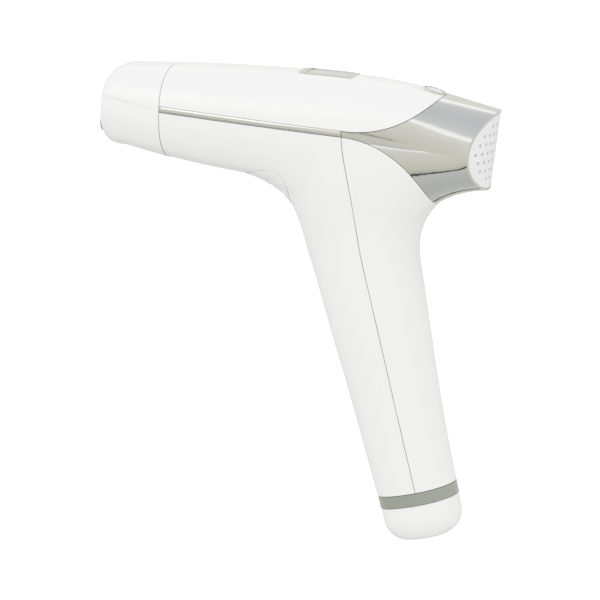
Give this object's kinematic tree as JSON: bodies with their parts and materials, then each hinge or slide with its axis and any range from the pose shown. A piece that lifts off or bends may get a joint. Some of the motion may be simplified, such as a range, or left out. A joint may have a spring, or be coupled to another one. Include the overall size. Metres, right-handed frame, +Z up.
{
  "type": "ipl hair remover",
  "caption": "Pistol-shaped pulsed-light hair remover: white shells, chrome tail with fan grille, top display, flash key and pull-off lamp head.",
  "frame": {"origin": "middle of the grip, on the handle's axis, in the plane of symmetry", "axes": "+Z up with the barrel on top; the lamp head points along -X and 3.6 degrees up, the fan outlet along +X; the handle leans 15 degrees, its foot towards +X"},
  "size_m": [0.1701, 0.0602, 0.2003],
  "materials": {
    "white_shell": "satin gloss",
    "white_trim": "satin",
    "chrome_trim": "polished electroplated",
    "dark_chrome_trim": "dark polished electroplated",
    "display_glass": "glossy",
    "filter_glass": "glossy",
    "tube_glass": "glossy",
    "reflector_metal": "polished",
    "sensor_metal": "satin",
    "black_plastic": "matte",
    "white_plastic_inner": "matte",
    "switch_plunger": "matte",
    "circuit_board": "satin",
    "steel_fastener": "satin",
    "ferrite": "matte",
    "copper_winding": "satin",
    "resin_blue": "gloss",
    "aluminium_part": "satin",
    "capacitor_sleeve": "gloss",
    "wire_insulation": "satin"
  },
  "bodies": {
    "casing": {"top_shell": "white_shell", "front_shell": "white_shell", "rear_handle_shell": "white_shell", "handle_end_cap": "white_shell", "exhaust_grille": "white_trim", "tail_trim": "chrome_trim", "side_strip_right": "chrome_trim", "side_strip_left": "chrome_trim", "display_bezel": "chrome_trim", "power_button_ring": "chrome_trim", "handle_band": "dark_chrome_trim", "display_window": "display_glass", "socket_pins": "sensor_metal", "dc_contact_pin": "sensor_metal", "dc_jack": "black_plastic", "power_switch_body": "black_plastic", "flash_switch_body": "black_plastic", "fan_frame": "black_plastic", "control_chip": "black_plastic", "power_transistor": "black_plastic", "lamp_socket": "black_plastic", "display_module": "white_plastic_inner", "fan_bracket": "white_plastic_inner", "capacitor_cradle": "white_plastic_inner", "main_board": "circuit_board", "display_board": "circuit_board", "power_switch_board": "circuit_board", "flash_switch_board": "circuit_board", "board_screws": "steel_fastener", "display_board_screws": "steel_fastener", "fan_screws": "steel_fastener", "fan_shaft": "steel_fastener", "transformer_core": "ferrite", "transformer_coil": "copper_winding", "fan_stator": "copper_winding", "film_capacitor": "resin_blue", "trigger_coil": "resin_blue", "heat_sink": "aluminium_part", "storage_capacitor": "capacitor_sleeve", "dc_leads": "wire_insulation", "socket_leads": "wire_insulation", "capacitor_leads": "wire_insulation", "fan_leads": "wire_insulation"},
    "lamp_head": {"lamp_head_shell": "white_shell", "contact_frame": "chrome_trim", "skin_sensors": "sensor_metal", "flash_window": "filter_glass", "reflector": "reflector_metal", "xenon_tube": "tube_glass", "tube_end_caps": "sensor_metal", "lamp_carrier": "black_plastic", "lamp_wires": "wire_insulation", "head_spigot": "white_plastic_inner", "head_plug": "black_plastic", "plug_sleeves": "sensor_metal"},
    "flash_key": {"flash_button": "white_shell"},
    "flash_plunger": {"flash_switch_plunger": "switch_plunger"},
    "power_key": {"power_button": "white_trim"},
    "power_plunger": {"power_switch_plunger": "switch_plunger"},
    "fan_wheel": {"fan_rotor": "black_plastic"}
  },
  "joints": [
    {"name": "lamp_head_slide", "type": "slide", "parent": "casing", "child": "lamp_head", "axis": [-0.998, 0, 0.0628], "range_m": [0, 0.03]},
    {"name": "flash_key_press", "type": "slide", "parent": "casing", "child": "flash_key", "axis": [0.5, 0, 0.866], "range_m": [0, 0.0008], "stiffness_N_per_m": 2500},
    {"name": "flash_plunger_press", "type": "slide", "parent": "casing", "child": "flash_plunger", "axis": [0.5, 0, 0.866], "range_m": [0, 0.0008]},
    {"name": "power_key_press", "type": "slide", "parent": "casing", "child": "power_key", "axis": [-0.2504, 0, -0.9681], "range_m": [0, 0.0005], "stiffness_N_per_m": 3000},
    {"name": "power_plunger_press", "type": "slide", "parent": "casing", "child": "power_plunger", "axis": [-0.2504, 0, -0.9681], "range_m": [0, 0.0005]},
    {"name": "fan_spin", "type": "hinge", "parent": "casing", "child": "fan_wheel", "pos_m": [0.0235, 0, 0.086], "axis": [1, 0, 0], "continuous": true}
  ],
  "couplings": [
    {"joint": "flash_plunger_press", "follows": "flash_key_press", "ratio": 1},
    {"joint": "power_plunger_press", "follows": "power_key_press", "ratio": 1}
  ]
}
